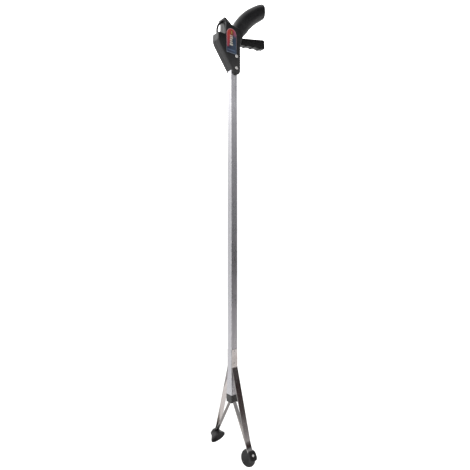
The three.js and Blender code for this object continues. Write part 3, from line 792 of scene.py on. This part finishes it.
def labelMaterial():
    # generic print: a light border, a red field, a navy field, pale bars, an oval badge; no lettering
    material, tree, shader = newMaterial("labelPrint")
    low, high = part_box("label")
    where = addNode(tree, "ShaderNodeSeparateXYZ", {0: addNode(tree, "ShaderNodeTexCoord").outputs["Object"]})
    width, height = high.x - low.x, high.z - low.z
    u = calc(tree, "DIVIDE", calc(tree, "SUBTRACT", where.outputs["X"], low.x), width)
    v = calc(tree, "DIVIDE", calc(tree, "SUBTRACT", where.outputs["Z"], low.z), width)
    tall = height / width

    def between(value, start, end, soft=0.02):
        rise = spread(tree, value, start - soft, start + soft, 0.0, 1.0)
        fall = spread(tree, value, end - soft, end + soft, 1.0, 0.0)
        return calc(tree, "MULTIPLY", rise, fall)

    def rect(u0, u1, v0, v1, soft=0.02):
        return calc(tree, "MULTIPLY", between(u, u0, u1, soft), between(v, v0, v1, soft))

    def roundShape(cu, cv, ru, rv, soft=0.08):
        du = calc(tree, "DIVIDE", calc(tree, "SUBTRACT", u, cu), ru)
        dv = calc(tree, "DIVIDE", calc(tree, "SUBTRACT", v, cv), rv)
        reach = calc(tree, "ADD", calc(tree, "MULTIPLY", du, du), calc(tree, "MULTIPLY", dv, dv))
        return spread(tree, reach, 1 - soft, 1 + soft, 1.0, 0.0)

    edge = label["border"] / 1000 / width
    wander = addNode(tree, "ShaderNodeTexNoise", {
        "Vector": place(tree), "Scale": 90.0, "Detail": 2.0}).outputs["Fac"]
    # the red field's edge runs down from the upper right to the lower left
    diagonal = calc(tree, "ADD", calc(tree, "MULTIPLY", u, 1.35), calc(tree, "MULTIPLY", v, -0.55))
    diagonal = calc(tree, "ADD", diagonal, calc(tree, "MULTIPLY", wander, 0.16))
    redness = spread(tree, diagonal, -0.02, 0.2, 1.0, 0.0)
    lowField = spread(tree, v, 0.42, 0.5, 0.0, 1.0)
    redness = calc(tree, "MULTIPLY", redness, lowField)
    warm = mixColour(tree, spread(tree, v, 0.7, 1.7, 0.0, 1.0), (0.23, 0.025, 0.04, 1), (0.33, 0.03, 0.02, 1))
    navy = mixColour(tree, spread(tree, u, 0.3, 1.0, 0.0, 1.0),
                     (0.005, 0.01, 0.032, 1), (0.016, 0.04, 0.075, 1))
    colour = mixColour(tree, redness, navy, warm)
    pinkish = mixColour(tree, spread(tree, v, 1.2, 1.75, 0.0, 1.0),
                        (0.05, 0.07, 0.1, 1), (0.3, 0.05, 0.11, 1))
    colour = mixColour(tree, calc(tree, "MULTIPLY", between(u, 0.72, 1.0, 0.05), between(v, 1.35, 2.0, 0.1)),
                       colour, pinkish)
    bars = None
    for i, (start, end) in enumerate(((0.62, 0.76), (0.82, 0.93), (0.99, 1.12), (1.18, 1.28), (1.34, 1.42))):
        bar = rect(0.31 + 0.02 * (i % 2), 0.62 - 0.03 * (i % 3), start, end, 0.025)
        bars = bar if bars is None else calc(tree, "MAXIMUM", bars, bar)
    colour = mixColour(tree, bars, colour, (0.4, 0.385, 0.33, 1))
    strap = rect(0.14, 0.82, 0.2, 0.3, 0.03)
    colour = mixColour(tree, calc(tree, "MULTIPLY", strap, 0.6), colour, (0.07, 0.11, 0.19, 1))
    colour = mixColour(tree, roundShape(0.5, 1.62, 0.13, 0.22, 0.2), colour, (0.12, 0.035, 0.012, 1))
    colour = mixColour(tree, roundShape(0.5, 1.65, 0.05, 0.13, 0.4), colour, (0.34, 0.2, 0.05, 1))
    # border: whatever lies outside the inner arch
    aboveFoot = spread(tree, v, edge - 0.01, edge + 0.01, 0.0, 1.0)
    inside = calc(tree, "MULTIPLY", between(u, edge, 1 - edge, 0.012), aboveFoot)
    arch = roundShape(0.5, tall - 0.5, 0.5 - edge, 0.5 - edge, 0.03)
    below = spread(tree, v, tall - 0.52, tall - 0.49, 1.0, 0.0)
    inside = calc(tree, "MULTIPLY", inside, calc(tree, "MAXIMUM", arch, below))
    rim = mixColour(tree, spread(tree, v, 0.3, 1.3, 0.0, 1.0), (0.09, 0.11, 0.15, 1), (0.36, 0.16, 0.18, 1))
    rim = mixColour(tree, spread(tree, u, 0.8, 1.0, 0.0, 0.75), rim, (0.05, 0.05, 0.08, 1))
    colour = mixColour(tree, inside, rim, colour)
    marks = useGroup(tree, handlingGroup, Amount=0.6)
    scuffs = calc(tree, "MULTIPLY", marks.outputs["Scratches"], 0.5)
    colour = mixColour(tree, scuffs, colour, (0.6, 0.6, 0.6, 1))
    tree.links.new(colour, shader.inputs["Base Color"])
    tree.links.new(calc(tree, "MULTIPLY_ADD", marks.outputs["Smudge"], 0.15, 0.3), shader.inputs["Roughness"])
    grain = useGroup(tree, grainGroup, Size=500.0, Depth=1.0)
    bumpInto(tree, shader, grain.outputs["Height"], 0.1, 0.05)
    return material


def makeLabel():
    low, high = (local(corner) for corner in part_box("label"))
    finishes["label"] = labelMaterial()
    film = meshPiece("labelFilm", *skin(roundedRings(labelOutline(0), low.y, high.y, label["film"], steps=3)))
    dress(film, "label", "frame", ["label"], 40)


# ---------- rivets, screws and washers ----------

rivetHead = dict(radius=2.55, height=1.2, flat=0.28, foot=0.06, shaft=1.4, sink=0.05,
                 bandRadius=1.9, bandHeight=0.8, cupRadius=1.75, cupHeight=0.9, cupShaft=1.5)


def headProfile(radius, height, foot=0.0):
    # a domed head with a crisp foot, from the rim to the crown
    dome = [(radius * math.cos(a), foot + rivetHead["flat"] + (height - rivetHead["flat"]) * math.sin(a))
            for a in (math.pi / 2 * i / 10 for i in range(11))]
    dome[-1] = (0, foot + height)
    return [(0, foot), (radius * 0.96, foot), (radius, foot + rivetHead["foot"]), *dome]


def throughRivet(name, node, seat, radius, height):
    centre = centreOf(node)
    shaft = rivetHead["shaft"]
    profile = [(0, -seat), (shaft, -seat), (shaft, seat), (0, seat)]
    made = lathe(name, profile, (centre.x, 0, centre.z), (0, 1, 0), 32)
    for side in (-1, 1):
        foot = (centre.x, side * (seat - rivetHead["sink"]), centre.z)
        head = lathe("head", headProfile(radius, height), foot, (0, side, 0), 40)
        combine(made, head, "UNION")
    return made


screwLook = dict(tip=0.5, shaft=1.35, taper=1.6, head=2.85, headHeight=1.9, crown=1.6,
                 recess=(1.75, 0.42), recessDepth=1.1)


def screwPiece(name, node):
    # a pan head with a cross recess
    low, high = (local(corner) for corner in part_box(node))
    centre = (low + high) / 2
    shaft, head, under = screwLook["shaft"], screwLook["head"], high.y - screwLook["headHeight"]
    profile = [(0, low.y), (screwLook["tip"], low.y), (shaft, low.y + screwLook["taper"]), (shaft, under),
               (head - 0.15, under), (head, under + 0.2), (head, high.y - 0.5), (head - 0.35, high.y - 0.15),
               (screwLook["crown"], high.y), (0, high.y)]
    body = lathe(name, profile, (centre.x, 0, centre.z), (0, 1, 0), 48)
    for long, wide in (screwLook["recess"], screwLook["recess"][::-1]):
        slotOutline = [(centre.x - long, centre.z - wide), (centre.x + long, centre.z - wide),
                       (centre.x + long, centre.z + wide), (centre.x - long, centre.z + wide)]
        floor = high.y - screwLook["recessDepth"]
        combine(body, prism("slot", slotOutline, floor, high.y + 1), "DIFFERENCE")
    return body


def makeFasteners():
    handleSeat = handle["half"] + 0.1
    bandSeat = local(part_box("band_tab_far")[1]).y + 0.05
    for which in ("upper", "lower"):
        node = f"handle_rivet_{which}"
        made = throughRivet(f"handleRivet{which.capitalize()}", node, handleSeat,
                            rivetHead["radius"], rivetHead["height"])
        dress(made, "rivet", "frame", [node])
        node = f"band_rivet_{which}"
        made = throughRivet(f"bandRivet{which.capitalize()}", node, bandSeat,
                            rivetHead["bandRadius"], rivetHead["bandHeight"])
        dress(made, "band", "frame", [node])
    for which in ("outer", "inner"):
        node = f"grip_screw_{which}"
        made = screwPiece(f"gripScrew{which.capitalize()}", node)
        dress(made, "screw", "frame", [node])


# ---------- trigger ----------

triggerLook = dict(half=5.5, edge=2.0, boss=4.2, forkHalf=2.5, forkLeft=-11, forkRight=3.5, forkLow=540,
                   forkHigh=600, pivotHole=2.3, linkHole=1.8)


def triggerOutline():
    pivot = local(joints["trigger_hinge"]["pos_m"])
    boss = triggerLook["boss"]
    outline = [(pivot.x, pivot.z - boss), (4.5, 561.8), (10.2, 567)]
    # the finger grooves
    outline += flowing([(10.2, 567), (16.8, 570), (22, 571.2), (26, 571), (31, 572.8), (37, 573.6),
                        (41, 573.2), (46, 575.2), (52, 575.4), (56, 574.8), (60, 576.2), (63.8, 577)], 4)
    outline += bend((63.8, 577), (67.4, 577.3), (67.2, 580.6))
    outline += [(66.4, 590)]
    outline += bend((66.4, 590), (66, 593.8), (62.6, 592.9))
    outline += [(17, 582.2), (8, 576.5), (-8, 572.4), (pivot.x, pivot.z + boss)]
    outline += arc(pivot.x, pivot.z, boss, 90, 270, 16)[1:-1]
    return evenly(outline, 2.0)


def makeTrigger():
    pivot = local(joints["trigger_hinge"]["pos_m"])
    link = centreOf("link_pin")
    half, forkHalf = triggerLook["half"], triggerLook["forkHalf"]
    rings = roundedRings(triggerOutline(), -half, half, triggerLook["edge"], steps=6)
    piece = meshPiece("squeezeTrigger", *skin(rings))
    left, right = triggerLook["forkLeft"], triggerLook["forkRight"]
    low, high = triggerLook["forkLow"], triggerLook["forkHigh"]
    fork = [(left, low), (right, low), (right, high), (left, high)]
    combine(piece, prism("fork", fork, -forkHalf, forkHalf), "DIFFERENCE")
    for centre, radius in ((pivot, triggerLook["pivotHole"]), (link, triggerLook["linkHole"])):
        combine(piece, prism("pinHole", circle(centre.x, centre.z, radius), -through, through), "DIFFERENCE")
    dress(piece, "trigger", "trigger", ["trigger"])


# ---------- tube, rod and guide block ----------

def roundedRect(halfX, halfY, corner, count=5):
    made = []
    for sx, sy, start in ((1, 1, 0), (-1, 1, 90), (-1, -1, 180), (1, -1, 270)):
        made += arc(sx * (halfX - corner), sy * (halfY - corner), corner, start, start + 90, count)
    return made


def makeTube():
    low, high = local(tubeLow), local(tubeHigh)
    levels = [0.0, 0.25, 6, 14, 22, 30, 36, tubeLook["flareTop"], 60, 150, 300, 450, high.z - 0.25, high.z]

    def ringAt(z, inward):
        share = max(0.0, 1 - z / tubeLook["flareTop"])
        halfX = tubeLook["halfX"] + (high.x - tubeLook["halfX"]) * share
        halfY = tubeLook["halfY"] + (high.y - tubeLook["halfY"]) * share
        trim = inward + (0.2 if z in (0.0, high.z) else 0.0)
        rect = roundedRect(halfX - trim, halfY - trim, max(0.25, tubeLook["corner"] - inward))
        return [(x, y, z) for x, y in rect]
    outer = [ringAt(z, 0) for z in levels]
    wall = tubeLook["wall"]
    inner = [ringAt(z, wall) for z in reversed(levels)]
    tube = meshPiece("boxTube", *skin([*outer, *inner, outer[0]], closeEnds=False))
    bm = bmesh.new()
    bm.from_mesh(tube.data)
    bmesh.ops.remove_doubles(bm, verts=bm.verts, dist=1e-7)
    bmesh.ops.recalc_face_normals(bm, faces=bm.faces)
    bm.to_mesh(tube.data)
    bm.free()
    for node in ("handle_rivet_upper", "handle_rivet_lower", "band_rivet_upper", "band_rivet_lower"):
        centre = centreOf(node)
        hole = circle(centre.x, centre.z, tubeLook["holeRadius"], 20)
        combine(tube, prism("hole", hole, -through, through), "DIFFERENCE")
    dress(tube, "tube", "frame", ["tube"], 25)


blockLook = dict(corner=1.1, footEdge=0.5, topEdge=0.3, top=-0.3, plug=(4.9, 3.4), plugCorner=0.5,
                 passageHalf=3.3, passageDepth=3.9, throat=-4.5, mouth=(9, -14))


def makeGuideBlock():
    # the plug goes up the tube, and the passage widens downwards to let the strips spread
    low, high = (local(corner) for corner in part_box("guide_block"))
    foot, edge, top = blockLook["footEdge"], blockLook["topEdge"], blockLook["top"]
    outer = [[(x, y, z) for x, y in roundedRect(high.x - trim, high.y - trim, blockLook["corner"])]
             for z, trim in ((low.z, foot), (low.z + foot, 0.0), (top - edge, 0.0), (top, edge))]
    block = meshPiece("guideBlock", *skin(outer))
    plug = [[(x, y, z) for x, y in roundedRect(*blockLook["plug"], blockLook["plugCorner"])]
            for z in (-1, high.z)]
    combine(block, meshPiece("plug", *skin(plug)), "UNION")
    half, throat = blockLook["passageHalf"], blockLook["throat"]
    wide, bottom = blockLook["mouth"]
    passage = [(half, through), (-half, through), (-half, throat), (-wide, bottom), (wide, bottom),
               (half, throat)]
    depth = blockLook["passageDepth"]
    combine(block, prism("passage", passage, -depth, depth, "x"), "DIFFERENCE")
    dress(block, "block", "frame", ["guide_block"])


# ---------- jaws ----------

jaw = dict(tilt=35.0, pivotY=5.6, pivotZ=44.0, elbow=(40.5, -70.0), tail=21.0, cupReach=13.6, bandWidth=11.6,
           tipWidth=10.2, bandThick=1.0, stripWidth=7.2, stripThick=0.9, stripTop=(2.0, -6.9),
           footOffset=1.45, footLength=17.0, slotHalf=5.6, slotGap=0.8, bendRun=3.4, elbowRun=9,
           tailRun=6, stripRun=4)


def alongTail(distance, inward=0.0):
    # (y, z) on the bent end of the far band, or inward of it towards the cup's mouth
    turn = math.radians(jaw["tilt"])
    y, z = jaw["elbow"]
    return (y + distance * math.sin(turn) - inward * math.cos(turn),
            z - distance * math.cos(turn) - inward * math.sin(turn))


def strap(name, line, side, widths, thick, corner=0.28):
    # a flat strip with softened edges along a line of (y, z) points; widths run with the points
    path = [(0, side * y, z) for y, z in line]

    def ring(index, point, along):
        across = Vector((1, 0, 0))
        normal = along.cross(across).normalized()
        halfW, halfT = widths[index] / 2, thick / 2
        outline = [(halfW, -halfT + corner), (halfW, halfT - corner), (halfW - corner, halfT),
                   (-halfW + corner, halfT), (-halfW, halfT - corner), (-halfW, -halfT + corner),
                   (-halfW + corner, -halfT), (halfW - corner, -halfT)]
        return [tuple(point + across * a + normal * b) for a, b in outline]
    return sweep(name, path, ring)


def straight(a, b, parts):
    return [tuple(p + (q - p) * i / parts for p, q in zip(a, b)) for i in range(1, parts + 1)]


def trimmedEnds(widths, first, last):
    # rounded corners at the strip's two ends
    for i, trim in enumerate(first):
        widths[i] -= trim
    for i, trim in enumerate(last):
        widths[-1 - i] -= trim


def makeOuterBand(name, side):
    top = local(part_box("band_tab_far")[1]).z
    y, z = jaw["pivotY"], jaw["pivotZ"]
    slope = (Vector(jaw["elbow"]) - Vector((y, z))).normalized()
    line = [(y, top), (y, top - 0.35), (y, top - 0.9), (y, top - 1.8)]
    line += straight(line[-1], (y, z + jaw["bendRun"]), 8)
    line += bend(line[-1], (y, z), tuple(Vector((y, z)) + slope * jaw["bendRun"]), 8)
    line += straight(line[-1], tuple(Vector(jaw["elbow"]) - slope * jaw["elbowRun"]), 16)
    line += bend(line[-1], jaw["elbow"], alongTail(jaw["tailRun"]), 12)
    line += [alongTail(distance) for distance in (9, 12, 15, 18)]
    line += [alongTail(jaw["tail"] - short) for short in (1.6, 0.7, 0.2, 0)]
    low = line[-1][1]
    shares = [min(1, max(0, (z - at) / (z - low))) for _, at in line]
    widths = [jaw["bandWidth"] + (jaw["tipWidth"] - jaw["bandWidth"]) * share for share in shares]
    trimmedEnds(widths, (2.6, 1.3, 0.5), (3.4, 1.9, 0.8))
    band = strap(name, line, side, widths, jaw["bandThick"])
    which = nameOf[side]
    dress(band, "band", None, [f"band_tab_{which}", f"jaw_band_{which}"], 25)
    # the sprung bend is spread from a little above the joint to a little below it
    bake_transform(band)


def makeInnerStrip(name, side):
    hinge = local(joints[f"strip_{nameOf[side]}_bend"]["pos_m"])
    hinge = Vector((abs(hinge.y), hinge.z))
    down = (hinge - Vector(jaw["stripTop"])).normalized()
    above = hinge - down * jaw["stripRun"]
    line = [jaw["stripTop"], *straight(jaw["stripTop"], tuple(above), 24)]
    line += bend(line[-1], tuple(hinge), alongTail(4.4, jaw["footOffset"]), 10)
    line += straight(line[-1], alongTail(jaw["footLength"], jaw["footOffset"]), 6)
    widths = [jaw["stripWidth"]] * len(line)
    piece = strap(name, line, side, widths, jaw["stripThick"], 0.22)
    body = nameOf[side]
    dress(piece, "strip", None, [f"inner_strip_{body}", f"strip_foot_{body}"], 25)
    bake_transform(piece)


class CupFrame:
    # the cup's own axes: u across, v up the tail, w towards the mouth
    def __init__(self, side):
        y, z = alongTail(jaw["cupReach"])
        turn = math.radians(jaw["tilt"])
        self.origin = Vector((0, side * y, z))
        self.u = Vector((1, 0, 0))
        self.v = Vector((0, -side * math.sin(turn), math.cos(turn)))
        self.w = Vector((0, -side * math.cos(turn), -math.sin(turn)))

    def at(self, u, v, w):
        return tuple(self.origin + self.u * u + self.v * v + self.w * w)


cupLook = dict(sleeveU=7.2, sleeveV=7.8, sleevePower=3.4, back=-3.6, washer=(4.7, 5.5, 3.6), washerHole=1.7,
               footGap=0.3, slotTop=40, bandSlotFoot=-11, stripSlotFoot=-4)


def cupPiece(name, side):
    # a turned dish with a squared sleeve on its back, slotted for the band and the strip's foot
    cup = CupFrame(side)
    outside = [(7.0, 0.5), (8.2, 1.7), (9.6, 4.2), (10.6, 5.9), (11.0, 6.2), (11.4, 7.0), (12.2, 8.4),
               (12.85, 9.5), (13.05, 10.2)]
    lip = [(12.95, 10.75), (12.65, 10.97), (12.3, 10.95)]
    inside = [(12.0, 10.6), (11.5, 9.4), (10.9, 8.5), (10.5, 7.6), (9.9, 7.1), (9.5, 6.3), (8.7, 5.8),
              (7.0, 5.0), (5.2, 4.7)]
    profile = [(0, 0.5), outside[0], *flowing(outside, 3), *lip, inside[0], *flowing(inside, 3), (0, 4.5)]
    dish = lathe(name, profile, cup.origin, cup.w, 72)
    rings = []
    power = 2 / cupLook["sleevePower"]
    levels = ((-3.6, 0.7), (-3.5, 0.82), (-3.1, 0.92), (-2.4, 0.98), (-1.4, 1.0), (2.2, 1.0), (3.4, 0.96))
    for w, share in levels:
        ring = []
        for i in range(48):
            a = math.tau * i / 48
            u = math.copysign(abs(math.cos(a)) ** power, math.cos(a)) * cupLook["sleeveU"] * share
            v = math.copysign(abs(math.sin(a)) ** power, math.sin(a)) * cupLook["sleeveV"] * share
            ring.append(cup.at(u, v, w))
        rings.append(ring)
    combine(dish, meshPiece("sleeve", *skin(rings)), "UNION")

    def slot(half, foot, back, front):
        top = cupLook["slotTop"]
        corners = [[cup.at(u, v, w) for u, v in ((-half, foot), (half, foot), (half, top), (-half, top))]
                   for w in (back, front)]
        combine(dish, meshPiece("slot", *skin(corners)), "DIFFERENCE")
    gap, footGap = jaw["slotGap"], cupLook["footGap"]
    slot(jaw["slotHalf"], cupLook["bandSlotFoot"], -gap, gap)
    slot(jaw["stripWidth"] / 2 + footGap, cupLook["stripSlotFoot"], 0,
         jaw["footOffset"] + jaw["stripThick"] / 2 + footGap)
    return dish


def makeCup(which, side):
    cup = CupFrame(side)
    body = f"jaw_{which}"
    title = which.capitalize()
    dress(cupPiece(f"cup{title}", side), "rubber", body, [f"cup_{which}"])
    low, high, radius = cupLook["washer"]
    hole = cupLook["washerHole"]
    section = [(hole, low + 0.1), (hole + 0.2, low), (radius - 0.2, low), (radius, low + 0.2),
               (radius, high - 0.2), (radius - 0.2, high), (hole + 0.2, high), (hole, high - 0.1),
               (hole, low + 0.1)]
    disc = lathe(f"cupWasher{title}", section, cup.origin, cup.w, 48)
    dress(disc, "washer", body, [f"cup_washer_{which}"])
    sink, thick = rivetHead["sink"], rivetHead["cupShaft"]
    back, front = cupLook["back"] - sink, high + sink
    section = [(0, back), (thick, back), (thick, front), (0, front)]
    shaft = lathe(f"cupRivet{title}", section, cup.origin, cup.w, 32)
    profile = headProfile(rivetHead["cupRadius"], rivetHead["cupHeight"])
    for start, sign in ((back, -1), (front, 1)):
        head = lathe("head", profile, cup.origin + cup.w * (start - sign * sink), cup.w * sign, 40)
        combine(shaft, head, "UNION")
    dress(shaft, "rivet", body, [f"cup_rivet_{which}"])


makeHandle()
print("handle made")
makeLabel()
makeFasteners()
print("label and fasteners made")
makeTrigger()
makeTube()
makeGuideBlock()
print("trigger, tube and block made")
for which, side in sides.items():
    makeOuterBand(f"outerBand{which.capitalize()}", side)
    makeInnerStrip(f"innerStrip{which.capitalize()}", side)
    makeCup(which, side)
print("jaws made")

# the rod, the yoke and the two pins are the CAD's own solids, with their finishes put on
plainNodes = {"pull_rod": "rod", "pull_yoke": "rod", "trigger_pivot_pin": "pin", "link_pin": "pin"}
for node, finish in plainNodes.items():
    kept = frame["nodes"][node]
    kept.data.materials.clear()
    kept.data.materials.append(finishes[finish])
